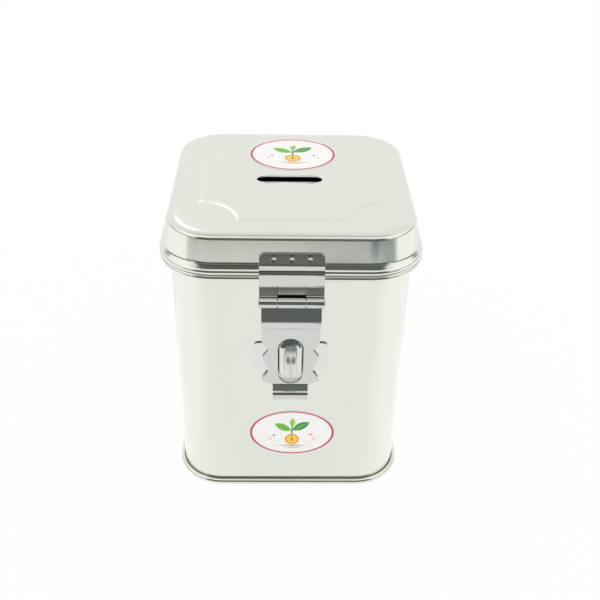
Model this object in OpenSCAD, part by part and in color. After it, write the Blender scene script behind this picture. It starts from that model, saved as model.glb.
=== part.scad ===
/* [Box] */
// Width and depth of the box between its flat walls
body_w = 105; // [90:1:130]
// Height of the plane where the lid meets the box
body_h = 122.95; // [100:0.05:150]
// Outside radius of the box's upright corners
corner_r = 20; // [16:0.5:28]
// Thickness of the box and lid sheet
sheet_t = 0.6; // [0.5:0.05:0.8]

/* [Rolled edges] */
// Radius of the rolled beads round the box's mouth and the lid's edge
bead_r = 1.4; // [1.2:0.05:1.6]
// How far the middle of a bead stands out from the box wall
bead_out = 3.25; // [2.8:0.05:3.6]
// Gap between the two beads when the lid is shut
bead_gap = 0.1; // [0.05:0.05:0.3]
// Height of the seam that rolls the bottom sheet round the box wall
seam_h = 3; // [2.4:0.1:4]
// How far the seam stands out from the box wall
seam_out = 2.1; // [1.5:0.1:2.6]
// Height of the bottom sheet above the table
base_rise = 2; // [1:0.1:2.2]

/* [Lid] */
// Height of the lid's flat top border above the plane where it meets the box
lid_h = 16.25; // [14:0.05:26]
// Angle that the lid's wall leans in
lid_draft = 7; // [3:0.5:9]
// Height at which the lid's wall starts to flare out, above the parting plane
flare_h = 4.65; // [4:0.05:5.5]
// How far the foot of the lid's wall stands out from the box wall
flare_out = 2.2; // [1.8:0.05:2.3]
// Length of the rounding at the lid's top edge
edge_round = 2.4; // [2:0.1:5]
// Width of the raised panel at its foot
panel_w = 82; // [70:1:88]
// Height of the raised panel
panel_h = 0.9; // [0.6:0.05:1.4]
// Width of the slope round the raised panel
panel_slope = 3.4; // [2:0.1:5]
// Radius of the hollow corners of the raised panel at its foot
panel_scoop = 20.5; // [14:0.5:24]

/* [Coin slot] */
// Length of the coin slot
slot_l = 30; // [26:0.5:34]
// Width of the coin slot
slot_w = 4.5; // [4.2:0.1:6]
// Distance of the coin slot to the right of the middle
slot_x = -0.5; // [-2:0.1:2]

/* [Labels] */
// Width of the front label
front_label_w = 40.5; // [30:0.5:50]
// Height of the front label
front_label_h = 25.7; // [20:0.1:34]
// Height of the middle of the front label
front_label_z = 32.2; // [26:0.1:40]
// Width of the top label
top_label_w = 41; // [30:0.5:46]
// Depth of the top label
top_label_d = 35.3; // [24:0.1:38]
// Distance of the top label's middle behind the middle of the lid
top_label_y = 27.9; // [25:0.1:30]
// Distance of both labels to the right of the middle
label_x = 1; // [-2:0.1:2]
// Thickness of a label
label_t = 0.15; // [0.1:0.01:0.25]

/* [Latch sheet] */
// Thickness of the latch sheet
latch_t = 0.8; // [0.7:0.05:1]
// Radius of every hinge pin
pin_r = 1.35; // [1.2:0.05:1.6]
// Radial clearance of a pin in a knuckle that turns on it
pin_gap = 0.05; // [0.02:0.01:0.1]
// Gap between knuckles that turn against each other
knuckle_gap = 0.3; // [0.2:0.05:0.5]
// Gap between the latch leaf and the beads that it passes
bead_clear = 0.35; // [0.25:0.05:0.6]
// Length over which a fold in the latch sheet is rounded
fold_round = 0.7; // [0.4:0.1:0.9]
// Length over which the latch leaf's fold beside the bead is rounded
leaf_round = 1.1; // [0.6:0.1:1.2]

/* [Latch leaf on the lid] */
// Width of the latch leaf
leaf_w = 27.3; // [24:0.1:32]
// Height of the latch leaf's top edge above the parting plane
leaf_top = 11; // [9:0.1:12]
// Radius of the latch leaf's top corners
leaf_corner = 2.4; // [1:0.1:3]
// Depth of the latch pin below the parting plane
latch_drop = 10.15; // [9:0.05:12]
// Drop from the parting plane to the fold from which the leaf leans out to its pin
kick_drop = 3.8; // [3:0.1:4.5]
// Angle of that lean
kick_angle = 12; // [6:1:16]
// Width of the latch strap's own knuckle
mid_knuckle = 11.5; // [9:0.1:14]
// Distance between the three weld dimples
dimple_pitch = 7.5; // [6:0.1:8]
// Distance of the weld dimples below the leaf's top edge
dimple_drop = 2.6; // [2:0.1:4]

/* [Latch strap] */
// Width of the latch strap
strap_w = 25.4; // [23:0.1:27]
// Angle at which the strap leaves its knuckle
strap_tilt = 15; // [13:1:20]
// Depth of the strap's outer fold below the latch pin
fold_drop = 9.9; // [9:0.1:11]
// Height of the upright band under the outer fold
fold_band = 2.4; // [2:0.1:3]
// Drop of the ledge that leads back to the box
ledge_drop = 3.2; // [2:0.1:4]
// Gap between the strap and the plate behind it
strap_gap = 0.3; // [0.2:0.05:0.5]
// Height of the bottom of the strap's flat part
strap_foot_z = 64; // [62:0.1:65]
// Width of the strap's opening
window_w = 10.6; // [10:0.1:12]
// Height of the opening's bottom
window_low = 64.4; // [64.2:0.1:65.5]
// Height of the opening's top
window_high = 87.8; // [87:0.1:89]
// Width of the finger lip
lip_w = 15.8; // [12:0.1:18]

/* [Staple] */
// Width of the staple plate across its ears
staple_w = 33; // [29:0.1:38]
// Height of the ears
ear_h = 15.2; // [12:0.1:18]
// Radius of the ears' corners
ear_round = 2.6; // [1:0.1:4]
// Height of the middle of the ears
ear_z = 78.6; // [76:0.1:80]
// Thickness of the staple plate
staple_t = 0.8; // [0.6:0.05:1]
// Width of the raised boss at its foot
boss_w = 9.8; // [8.5:0.1:10]
// Height of the boss's lower end
boss_low = 66.4; // [66:0.1:68]
// Height of the boss's upper end
boss_high = 86.8; // [84:0.1:87]
// Height that the boss stands up from the plate
boss_h = 2; // [1.4:0.1:2.2]
// Width of the flat rim round the boss
boss_rim = 1.2; // [0.8:0.1:2]
// Width of the padlock eye
eye_w = 5.6; // [4.6:0.1:6.2]
// Radius of the two folds that the eye's front is pressed into
eye_fold = 1.6; // [1.5:0.1:2.2]
// Radius of the padlock hole
eye_hole_r = 2.6; // [2:0.1:2.8]
// Metal left in front of the padlock hole
eye_wall = 1.6; // [1.2:0.1:2]
// Gap between the strap and a shackle that fills the padlock hole
lock_gap = 0.5; // [0.3:0.1:1]
// Height of the eye's lower end
eye_low = 70; // [69.5:0.1:71]
// Height of the eye's upper end
eye_high = 85.6; // [83:0.1:85.8]
// Radius of the eye's rounded corners, seen from the side
eye_round = 5.5; // [5:0.1:6.4]

/* [Rear hinges] */
// Gap between the rear hinges' sheet and the beads that it passes
hinge_clear = 1.75; // [1.2:0.05:2.5]
// Width of each rear hinge
hinge_w = 22; // [16:0.5:26]
// Distance of each rear hinge from the middle
hinge_x = 27; // [18:0.5:32]
// Length of a hinge leaf on the box wall
hinge_leaf_h = 14; // [10:0.5:20]
// Width of the lid's knuckle in a rear hinge
hinge_mid = 8; // [6:0.5:10]
// Drop from the bead to where a rear leaf starts to lean in to the box
leaf_drop = 1; // [0.5:0.1:2]
// Height over which a rear leaf leans in to the box
leaf_lean = 3; // [2:0.1:5]

/* [Hidden] */
$fn = 64;

steel = [0.83, 0.83, 0.8];
dark_steel = [0.66, 0.67, 0.66];
paper = [0.96, 0.94, 0.92];

half = body_w / 2;
core = half - corner_r;
wire_r = bead_r - sheet_t;
body_bead_z = body_h - bead_gap / 2 - bead_r;
lid_bead_z = body_h + bead_gap / 2 + bead_r;
bead_x = corner_r + bead_out;
bead_edge = half + bead_out + bead_r;
seam_r = seam_h / 2;
lid_top = body_h + lid_h;
wall_foot = [corner_r + flare_out, body_h + flare_h];
lean = tan(lid_draft);
bend_steps = 5;

// The sheet's end lies a little inside the bead that it runs into
bead_lap = 0.05;
web_z = body_bead_z + bead_r - sheet_t - bead_lap;
web_end = bead_x - bead_r / 4;
flare_round = 0.9;

// Height of the wall's lower edge inside the seam
seam_groove = 0.8;

// A knuckle turns most of the way round its pin
knuckle_turn = 300;
// It is rolled a little thicker than its sheet, and the sheet runs on into it
roll_lap = 0.03;
roll_sink = 0.3;
bore_r = pin_r + pin_gap;
knuckle_r = bore_r + latch_t + 2 * roll_lap;
hinge_in = bead_edge + hinge_clear + roll_lap;
hinge_y = bead_edge + hinge_clear + knuckle_r;
plate_y = -(half + staple_t);
strap_in = plate_y - strap_gap;
strap_out = strap_in - latch_t;
knuckle_clear = knuckle_r + knuckle_gap;
pin_end = 0.3;
dimple_r = 1.5;
dimple_depth = 0.2;

// Rise of a lid leaf's two lower folds above the bead's middle and above the wall's foot
step_rise = 0.6;
foot_rise = 0.3;

// Bends of the finger lip's inner face, as depth and height from the strap's foot, and their rounding
lip_bends = [[-1.8, -3.3], [-3, -3.9], [-3.05, -6.5]];
lip_rounds = [0.3, 0.9, 0];
// Corners of the strap's notched side, as distance beyond its half width, and height
notches = [[0.2, 66], [-2.8, 71], [-0.2, 79.2], [-2.9, 83.1], [0, 86.2]];

// Shank of the padlock eye, and the flat head that holds it behind the box wall
shank_w = 3;
shank_h = 6;
head_t = 1;
head_h = 9;

// Points on a path of straight lines, whose corners are rounded over the lengths d
function unit(v) = v / norm(v);
function rounded(p, d) = [
  for (i = [0 : len(p) - 1])
    each (i == 0 || i == len(p) - 1) ? [p[i]] :
      let (a = p[i] + unit(p[i - 1] - p[i]) * d[i], b = p[i] + unit(p[i + 1] - p[i]) * d[i])
        d[i] == 0 ? [p[i]] :
          [for (s = [0 : 1 / bend_steps : 1]) (1 - s) ^ 2 * a + 2 * s * (1 - s) * p[i] + s ^ 2 * b]
];
function folded(p) = rounded(p, [for (q = p) fold_round]);

// Outline of a sheet of thickness t that lies to the left of the path p
function left(v) = [-v[1], v[0]];
function heading(p, i) = unit(p[i + 1] - p[i]);
function miter(p, i) =
  let (last = len(p) - 2, m = left(heading(p, max(i - 1, 0))) + left(heading(p, min(i, last))))
    m * 2 / (m * m);
function sheet(p, t) = concat(p, [for (i = [len(p) - 1 : -1 : 0]) p[i] + t * miter(p, i)]);

// Sweeps a profile round a rounded rectangle; the profile's x runs outward from the corner centres
module swept(run_x, run_y) {
  for (turn = [0, 180]) rotate(turn) {
    translate([run_x / 2, run_y / 2, 0]) rotate_extrude(angle = 90) children();
    translate([-run_x / 2, run_y / 2, 0]) rotate(90) rotate_extrude(angle = 90) children();
    if (run_y > 0) translate([run_x / 2, run_y / 2, 0]) rotate([90, 0, 0]) linear_extrude(run_y) children();
    if (run_x > 0) translate([-run_x / 2, run_y / 2, 0]) rotate([90, 0, 90]) linear_extrude(run_x) children();
  }
}

module round_box() swept(2 * core, 2 * core) children();

module centre_plate(z, t) translate([-core, -core, z]) cube([2 * core, 2 * core, t]);

// Draws a profile, seen from the side as depth and height, across the width w
module across(w) translate([-w / 2, 0, 0]) rotate([90, 0, 90]) linear_extrude(w) children();

// Pushes a front view, seen as width and height, from depth y0 back to depth y1
module pushed(y0, y1) translate([0, y1, 0]) rotate([90, 0, 0]) linear_extrude(y1 - y0) children();

module rounded_rect(w, h, r) {
  square([w - 2 * r, h], center = true);
  square([w, h - 2 * r], center = true);
  for (x = [-1, 1], y = [-1, 1]) translate([x * (w / 2 - r), y * (h / 2 - r)]) circle(r);
}

module stadium(w, low, high) {
  r = w / 2;
  translate([0, low + r]) circle(r);
  translate([0, high - r]) circle(r);
  translate([-r, low + r]) square([w, high - low - w]);
}

module oval(w, h) scale([1, h / w, 1]) circle(w / 2);

module bead_ring(z) translate([bead_x, z]) difference() {
  circle(bead_r);
  circle(wire_r);
}

module body_section() {
  translate([corner_r - sheet_t, seam_groove]) square([sheet_t, web_z + sheet_t - seam_groove]);
  translate([corner_r - sheet_t, web_z]) square([web_end - corner_r + sheet_t, sheet_t]);
  bead_ring(body_bead_z);
}

module body_shell() color(steel) difference() {
  round_box() body_section();
  eye_shank();
}

module rim_wire(z) round_box() translate([bead_x, z]) circle(wire_r);

module body_rim_wire() color(dark_steel) rim_wire(body_bead_z);

// The bottom sheet runs under the wall and is rolled up round it as a seam
module base_section() {
  difference() {
    union() {
      translate([corner_r + seam_out - seam_r, seam_r]) circle(seam_r);
      translate([corner_r - 2 * sheet_t, 0]) square([seam_out - seam_r + 2 * sheet_t, seam_h]);
    }
    translate([corner_r - sheet_t, seam_groove]) square([sheet_t, seam_h]);
  }
  translate([0, base_rise]) square([corner_r - sheet_t, sheet_t]);
}

module base_pan() color(steel) {
  round_box() base_section();
  centre_plate(base_rise, sheet_t);
}

lid_path = rounded([
  [0, lid_top],
  [wall_foot[0] - (lid_top - wall_foot[1]) * lean, lid_top],
  wall_foot,
  [bead_x, lid_bead_z + bead_r - bead_lap]
], [0, edge_round, flare_round, 0]);

module lid_section() {
  polygon(sheet(lid_path, -sheet_t));
  bead_ring(lid_bead_z);
}

// Block with four sloping sides and a hollow cone cut out of each corner
module panel_block() {
  foot = panel_w / 2;
  crown = foot - panel_slope;
  slope = [[-foot, 0], [foot, 0], [crown, panel_h], [-crown, panel_h]];
  translate([0, 0, lid_top]) difference() {
    intersection() {
      translate([0, foot, 0]) rotate([90, 0, 0]) linear_extrude(panel_w) polygon(slope);
      translate([-foot, 0, 0]) rotate([90, 0, 90]) linear_extrude(panel_w) polygon(slope);
    }
    for (x = [-foot, foot], y = [-foot, foot]) translate([x, y, 0])
      cylinder(h = panel_h, r1 = panel_scoop, r2 = panel_scoop + panel_slope);
  }
}

module coin_slot() translate([slot_x, 0, lid_top - 2 * sheet_t]) linear_extrude(panel_h + 4 * sheet_t)
  rotate(90) stadium(slot_w, -slot_l / 2, slot_l / 2);

module lid_shell() color(steel) difference() {
  union() {
    round_box() lid_section();
    centre_plate(lid_top - sheet_t, sheet_t);
    panel_block();
  }
  translate([0, 0, -sheet_t]) panel_block();
  coin_slot();
}

module lid_rim_wire() color(dark_steel) rim_wire(lid_bead_z);

module front_label() color(paper)
  translate([label_x, 0, front_label_z]) pushed(-half - label_t, -half) oval(front_label_w, front_label_h);

module lid_face() {
  panel_block();
  translate([-half, -half, lid_top - sheet_t]) cube([body_w, body_w, sheet_t]);
}

// The top label lies over the edge of the raised panel and follows it
module top_label() color(paper) intersection() {
  translate([label_x, top_label_y, lid_top]) linear_extrude(panel_h + sheet_t) oval(top_label_w, top_label_d);
  difference() {
    translate([0, 0, label_t]) lid_face();
    lid_face();
  }
}

// A sheet rolled round the pin from the angle start, where 0 is straight down
module knuckle(w, start) translate([-w / 2, 0, 0]) rotate([0, 90, 0]) rotate(start)
  rotate_extrude(angle = knuckle_turn) translate([bore_r, 0]) square([knuckle_r - bore_r, w]);

module side_knuckles(w, middle, start) {
  each_w = (w - middle) / 2 - knuckle_gap;
  for (side = [-1, 1]) translate([side * (w - each_w) / 2, 0, 0]) knuckle(each_w, start);
}

function lid_wall_y(z) = core + wall_foot[0] - (z - wall_foot[1]) * lean;
leaf_top_z = body_h + leaf_top;
// The leaf starts to lean in beside the bead, and lies on the wall from just above its foot
leaf_step_z = lid_bead_z + step_rise;
leaf_foot_z = wall_foot[1] + foot_rise;
leaf_x = bead_edge + bead_clear + roll_lap;
roll_r = knuckle_r - roll_lap;

// Path of a leaf's inner face from its foot up over the beads to the lid wall, seen with depth outward
function lid_leaf_path(foot) = rounded(concat(foot, [
  [foot[len(foot) - 1][0], leaf_step_z],
  [lid_wall_y(leaf_foot_z), leaf_foot_z],
  [lid_wall_y(leaf_top_z), leaf_top_z]
]), concat([for (q = foot) fold_round], [leaf_round, fold_round, 0]));

module lid_leaf(w, foot) intersection() {
  across(w) polygon(sheet(lid_leaf_path(foot), -latch_t));
  translate([0, 0, foot[0][1]]) pushed(core, foot[0][0] + knuckle_r)
    rounded_rect(w, 2 * (leaf_top_z - foot[0][1]), leaf_corner);
}

dimple_z = leaf_top_z - dimple_drop;
dimple_y = -lid_wall_y(dimple_z) - latch_t + dimple_depth;

// The latch leaf leans out below its kick and meets its knuckle's rear, a little below the pin
kick_z = body_h - kick_drop;
latch_z = body_h - latch_drop;
touch_z = latch_z - roll_r * sin(kick_angle);
latch_y = -(leaf_x + (kick_z - touch_z) * tan(kick_angle) + roll_r * cos(kick_angle));
latch_foot_z = touch_z - roll_sink;
latch_foot = [
  [leaf_x + (kick_z - latch_foot_z) * tan(kick_angle), latch_foot_z],
  [leaf_x, kick_z]
];

module latch_leaf() color(dark_steel) difference() {
  union() {
    rotate(180) lid_leaf(leaf_w, latch_foot);
    translate([0, latch_y, latch_z])
      side_knuckles(leaf_w, mid_knuckle, 90 - kick_angle - knuckle_turn);
  }
  translate([-mid_knuckle / 2 - knuckle_gap, latch_y - knuckle_clear, latch_z - knuckle_clear])
    cube([mid_knuckle + 2 * knuckle_gap, 2 * knuckle_clear, 2 * knuckle_clear]);
  // Slits part the fingers that are rolled from the tab between them
  for (side = [-1, 1]) translate([side * (mid_knuckle + knuckle_gap) / 2, latch_y, (kick_z + latch_z) / 2])
    cube([knuckle_gap, 4 * knuckle_clear, kick_z - latch_z], center = true);
  for (i = [-1 : 1]) translate([i * dimple_pitch, dimple_y - dimple_r, dimple_z]) sphere(dimple_r);
}

module pin(w) translate([-w / 2, 0, 0]) rotate([0, 90, 0]) cylinder(h = w, r = pin_r);

module latch_pin() color(dark_steel) translate([0, latch_y, latch_z]) pin(leaf_w + 2 * pin_end);

// Path of the strap's inner face from its knuckle down to the tip of the finger lip
strap_start = [
  latch_y + roll_r * cos(strap_tilt) + roll_sink * sin(strap_tilt),
  latch_z - roll_r * sin(strap_tilt) + roll_sink * cos(strap_tilt)
];
fold_z = latch_z - fold_drop;
fold_y = strap_start[0] - (strap_start[1] - fold_z) * tan(strap_tilt);
ledge_z = fold_z - fold_band - ledge_drop;
strap_body = [
  strap_start,
  [fold_y, fold_z],
  [fold_y, fold_z - fold_band],
  [strap_in, ledge_z],
  [strap_in, strap_foot_z]
];
lip = [for (b = lip_bends) [strap_in + b[0], strap_foot_z + b[1]]];
strap_path = rounded(concat(strap_body, lip), concat([for (q = strap_body) fold_round], lip_rounds));

// Right half of the strap's front outline, from the lip up to its top edge
strap_edge = [
  [lip_w / 2, 0],
  [lip_w / 2, strap_foot_z + lip_bends[0][1]],
  each [for (n = notches) [strap_w / 2 + n[0], n[1]]],
  [strap_w / 2, latch_z]
];

module strap_outline() polygon(concat(strap_edge,
  [for (i = [len(strap_edge) - 1 : -1 : 0]) [-strap_edge[i][0], strap_edge[i][1]]]));

module latch_strap() color(dark_steel) {
  strap_front = latch_y - 2 * knuckle_r;
  difference() {
    intersection() {
      across(2 * strap_w) polygon(sheet(strap_path, -latch_t));
      pushed(strap_front, 0) strap_outline();
    }
    pushed(strap_front, 0) stadium(window_w, window_low, window_high);
    for (side = [-1, 1]) translate([side * (mid_knuckle + strap_w) / 2, latch_y, latch_z])
      rotate([0, 90, 0]) cylinder(h = strap_w, r = knuckle_clear, center = true);
  }
  translate([0, latch_y, latch_z]) knuckle(mid_knuckle, 90 - strap_tilt);
}

module boss() translate([0, plate_y, (boss_low + boss_high) / 2]) rotate([90, 0, 0]) {
  r = boss_w / 2;
  run = boss_high - boss_low - boss_w;
  flank = [[0, 0], [r, 0], [r - boss_h / 2, boss_h], [0, boss_h]];
  swept(0, run) polygon(flank);
}

module staple_plate() color(steel) difference() {
  union() {
    pushed(plate_y, -half) {
      translate([0, ear_z]) rounded_rect(staple_w, ear_h, ear_round);
      stadium(boss_w + 2 * boss_rim, boss_low - boss_rim, boss_high + boss_rim);
    }
    boss();
  }
  translate([0, staple_t, 0]) boss();
  eye_shank();
}

eye_mid = (eye_low + eye_high) / 2;
boss_face = plate_y - boss_h;
eye_hole_y = min(strap_out - lock_gap, boss_face) - eye_hole_r;
eye_front = eye_hole_y - eye_hole_r - eye_wall;
head_y = sheet_t - half;

// The shank goes from inside the eye through the boss and the box wall into its head
module eye_shank() translate([-shank_w / 2, boss_face - head_t, eye_mid - shank_h / 2])
  cube([shank_w, head_y + 2 * head_t - boss_face, shank_h]);

// Behind the wall the shank's end is spread into a flat head
module shank_head() translate([-shank_w / 2, head_y, eye_mid - head_h / 2])
  cube([shank_w, head_t, head_h]);

module eye_side() {
  depth = boss_face - eye_front;
  intersection() {
    translate([eye_front + depth, eye_mid]) rounded_rect(2 * depth, eye_high - eye_low, eye_round);
    translate([eye_front, eye_low]) square([depth, eye_high - eye_low]);
  }
}

// Plan of the eye: two folds lie side by side with a groove between them
module eye_top() {
  for (side = [-1, 1]) translate([side * (eye_w / 2 - eye_fold), eye_front + eye_fold]) circle(eye_fold);
  translate([-eye_w / 2, eye_front + eye_fold]) square([eye_w, boss_face - eye_front]);
}

module staple_eye() color(steel) difference() {
  union() {
    intersection() {
      across(eye_w) eye_side();
      translate([0, 0, eye_low]) linear_extrude(eye_high - eye_low) eye_top();
    }
    eye_shank();
    shank_head();
  }
  translate([0, eye_hole_y, eye_mid]) rotate([0, 90, 0])
    cylinder(h = 2 * eye_w, r = eye_hole_r, center = true);
}

// Path of a rear hinge leaf's inner face from its pin down under the bead to the box wall
lean_z = body_bead_z - bead_r - leaf_drop;
body_leaf_path = folded([
  [hinge_in, body_h + roll_sink],
  [hinge_in, lean_z],
  [half, lean_z - leaf_lean],
  [half, lean_z - leaf_lean - hinge_leaf_h]
]);

module hinge_body_leaf(x) color(steel) translate([x, 0, 0]) difference() {
  union() {
    across(hinge_w) polygon(sheet(body_leaf_path, latch_t));
    translate([0, hinge_y, body_h]) rotate(180) side_knuckles(hinge_w, hinge_mid, 90);
  }
  translate([-hinge_mid / 2 - knuckle_gap, hinge_y - knuckle_clear, body_h - knuckle_clear])
    cube([hinge_mid + 2 * knuckle_gap, 2 * knuckle_clear, 2 * knuckle_clear]);
}

module hinge_lid_leaf(x) color(steel) translate([x, 0, 0]) {
  difference() {
    lid_leaf(hinge_w, [[hinge_in, body_h - roll_sink]]);
    for (side = [-1, 1]) translate([side * (hinge_w + hinge_mid) / 2, hinge_y, body_h])
      cube([hinge_w, 2 * knuckle_clear, 2 * knuckle_clear], center = true);
  }
  translate([0, hinge_y, body_h]) rotate(180) knuckle(hinge_mid, 90 - knuckle_turn);
}

module hinge_pin(x) color(dark_steel) translate([x, hinge_y, body_h]) pin(hinge_w + 2 * pin_end);

module left_hinge_body_leaf() hinge_body_leaf(-hinge_x);
module right_hinge_body_leaf() hinge_body_leaf(hinge_x);
module left_hinge_lid_leaf() hinge_lid_leaf(-hinge_x);
module right_hinge_lid_leaf() hinge_lid_leaf(hinge_x);
module left_hinge_pin() hinge_pin(-hinge_x);
module right_hinge_pin() hinge_pin(hinge_x);

body_shell();
body_rim_wire();
base_pan();
front_label();
staple_plate();
staple_eye();
left_hinge_body_leaf();
right_hinge_body_leaf();
left_hinge_pin();
right_hinge_pin();
lid_shell();
lid_rim_wire();
top_label();
latch_leaf();
latch_pin();
left_hinge_lid_leaf();
right_hinge_lid_leaf();
latch_strap();
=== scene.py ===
import math
from bisect import bisect_left

import bmesh
import bpy
from mathutils import Matrix, Vector


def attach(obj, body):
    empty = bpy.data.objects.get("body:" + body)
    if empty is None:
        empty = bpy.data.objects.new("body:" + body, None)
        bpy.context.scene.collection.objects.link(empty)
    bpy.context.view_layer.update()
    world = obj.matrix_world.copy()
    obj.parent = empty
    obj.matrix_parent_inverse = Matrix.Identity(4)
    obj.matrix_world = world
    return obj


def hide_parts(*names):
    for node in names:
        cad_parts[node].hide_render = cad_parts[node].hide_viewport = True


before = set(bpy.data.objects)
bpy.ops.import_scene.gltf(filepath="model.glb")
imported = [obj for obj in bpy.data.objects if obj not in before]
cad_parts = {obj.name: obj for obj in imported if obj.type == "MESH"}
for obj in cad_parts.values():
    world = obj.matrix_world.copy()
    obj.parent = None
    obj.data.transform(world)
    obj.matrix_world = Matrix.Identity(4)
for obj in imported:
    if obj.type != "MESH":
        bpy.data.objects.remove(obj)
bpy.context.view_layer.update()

# Every size below is in millimetres, and a finished mesh is scaled to metres
MM = 0.001

# Box
HALF = 52.5
CORNER = 20
CORE = HALF - CORNER
SHEET = 0.6
PARTING = 122.95
BEAD_R = 1.4
BEAD_OUT = 3.25
BEAD_GAP = 0.1
BEAD_X = CORNER + BEAD_OUT
BODY_BEAD_Z = PARTING - BEAD_GAP / 2 - BEAD_R
LID_BEAD_Z = PARTING + BEAD_GAP / 2 + BEAD_R
WALL_FOOT_Z = 0.8
WEB_BEND = 1.1
SEAM_H = 3
SEAM_OUT = 2.1
BASE_RISE = 2
PAN_BEND = 0.8

# Ends of the two rolled beads, in degrees
BODY_CURL_END = -205
LID_CURL_END = -200

# Lid
LID_TOP = PARTING + 16.95
LID_DRAFT = math.radians(7)
FLARE_FOOT = (CORNER + 2.2, PARTING + 4.65)
# Length of the top edge's bend inwards and down the wall
EDGE_ROUND = (4.4, 2)
FLARE_ROUND = 0.9
# Where the flare meets the bead, in degrees, and how far up the flare its last point lies, as a share
FLARE_END = 66
FLARE_EDGE = 0.12
PANEL_HALF = 41
PANEL_H = 0.2
PANEL_SLOPE = 2.4
PANEL_SCOOP = 17
SLOT_L = 30
SLOT_W = 5.6
SLOT_X = -0.8
SLOT_Y = -0.55
# Cells of the lid's grid that are opened round the slot
SLOT_CELLS = 2

# Labels
LABEL_T = 0.15
LABEL_EASE = 0.05
FRONT_LABEL = (40.5, 27.1)
FRONT_LABEL_AT = (1.2, 32.9)
TOP_LABEL = (41.4, 36)
TOP_LABEL_AT = (0.8, 26.8)

# Latch and hinge sheet
LATCH_T = 0.8
LATCH_EASE = 0.12
BEAD_EDGE = HALF + BEAD_OUT + BEAD_R
PIN_R = 1.35
PIN_END = 0.3
PIN_DOME = 80
BORE_R = 1.4
ROLL_LAP = 0.03
KNUCKLE_R = BORE_R + LATCH_T + 2 * ROLL_LAP
ROLL_OUT = KNUCKLE_R - ROLL_LAP
KNUCKLE_GAP = 0.3
KNUCKLE_CLEAR = KNUCKLE_R + KNUCKLE_GAP
ROLL_TURN = 300
FOLD_ROUND = 0.7

# Latch leaf
LEAF_CLEAR = 0.35
STEP_RISE = 0.6
FOOT_SINK = 0.3
LEAF_X = BEAD_EDGE + LEAF_CLEAR + ROLL_LAP
LEAF_STEP_Z = LID_BEAD_Z + STEP_RISE
LEAF_FOOT_Z = FLARE_FOOT[1] - FOOT_SINK
LEAF_W = 27.3
LEAF_TOP = PARTING + 9.7
LEAF_CORNER = 2.4
LEAF_ROUND = 1.1
MID_KNUCKLE = 11.5
DIMPLE_PITCH = 7.5
DIMPLE_DROP = 2.8
DIMPLE_R = 1.1
DIMPLE_DEPTH = 0.3
LEAF_LIFT = 0.35
LATCH_Z = PARTING - 10.15
KICK_Z = PARTING - 3.8
KICK = math.radians(12)
TOUCH_Z = LATCH_Z - ROLL_OUT * math.sin(KICK)
TOUCH_X = LEAF_X + (KICK_Z - TOUCH_Z) * math.tan(KICK)
LATCH_Y = -(TOUCH_X + ROLL_OUT * math.cos(KICK))

# Rear hinges
HINGE_CLEAR = 1.75
HINGE_IN = BEAD_EDGE + HINGE_CLEAR + ROLL_LAP
HINGE_Y = HINGE_IN + ROLL_OUT
HINGE_W = 22
HINGE_MID = 8
HINGE_X = 27
HINGE_LEAF_H = 14
HINGE_CORNER = 1.5
LEAF_DROP = 1
LEAF_LEAN = 3

# Latch strap
STRAP_W = 25.4
STRAP_TILT = math.radians(15)
FOLD_DROP = 9.9
FOLD_BAND = 2.4
LEDGE_DROP = 3.2
PLATE_GAP = 0.8
STRAP_GAP = 0.3
PLATE_Y = -(HALF + PLATE_GAP)
STRAP_IN = PLATE_Y - STRAP_GAP
STRAP_FOOT = 64
WINDOW_W = 11.4
WINDOW_Z = (64.4, 89.4)
LIP_W = 15.8
# Bends of the finger lip, as depth and height from the strap's foot, and their rounding
LIP_BENDS = [(-1.8, -3.3), (-3, -3.9), (-3.05, -6.5)]
LIP_ROUNDS = [0.3, 0.9, 0]
# Corners of the zigzag side, as distance past the strap's edge and height
NOTCHES = [(0.2, 66), (-2.8, 71), (-0.2, 79.2), (-2.9, 83.1), (0, 86.2)]

# Staple
STAPLE_T = 0.8
STAPLE_W = 33
EAR_H = 15.2
EAR_Z = 78.6
EAR_ROUND = 2.6
BOSS_W = 11.2
BOSS_SIDE = 1.3
BOSS_Z = (66.4, 89.2)
BOSS_H = 2
BOSS_HEAD = 4.6
BOSS_RIM = 1.2
BOSS_RINGS = 5
BOSS_INSET = 1.15 * BOSS_SIDE / BOSS_RINGS
STAPLE_EASE = 0.18
EYE_W = 5.6
EYE_FOLD = 1.6
EYE_Z = (70, 85.6)
EYE_ROUND = 5.5
EYE_HOLE_R = 2.6
EYE_HOLE_Y = -57.9
EYE_FRONT = -62.1
EYE_SINK = 0.2
EYE_EASE = 0.15
# Width and height of the shank that goes through the wall and of its head inside, and their depths
SHANK = (3, 6)
SHANK_HEAD = (3, 9)
SHANK_SINK = 0.5
SHANK_LAP = 0.1
SHANK_HEAD_T = 1

# Fineness of the meshes, as the number of steps in each form
BEND_STEPS = 6
CURL_STEPS = 30
SEAM_STEPS = 16
WALL_CORNER_STEPS = 24
WALL_SIDE_STEPS = 4
LID_CORNER_STEPS = 22
LID_CELLS = 92
ARC_STEPS = 16
OVAL_STEPS = 128
LABEL_RINGS = 40
SHEET_CORNER_STEPS = 6
ROLL_STEPS = 36
DIMPLE_CUTS = 4
DOME_STEPS = 4
PIN_STEPS = 40
EYE_SLICES = 28
EYE_STEPS = 14
HOLE_STEPS = 48

# Points closer than these count as one
MERGE = 0.001
FINE_MERGE = 0.0001
# A point this close to a line or a height lies on it
NEAR = 0.01

# How strongly large faces set the smooth normals, where 50 is neutral
NORMAL_WEIGHT = 80

# Pattern sizes of the steel and the labels
HAZE_SIZE = 22
GRAIN_DEPTH = 0.0015
FIBRE_SIZE = 3
RIPPLE_SIZE = 6
RIPPLE_DEPTH = 0.02
FILM_ROUGHNESS = 0.3
# Span of the haze noise that the steel's roughness follows
HAZE_SPAN = (0.3, 0.7)

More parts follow.
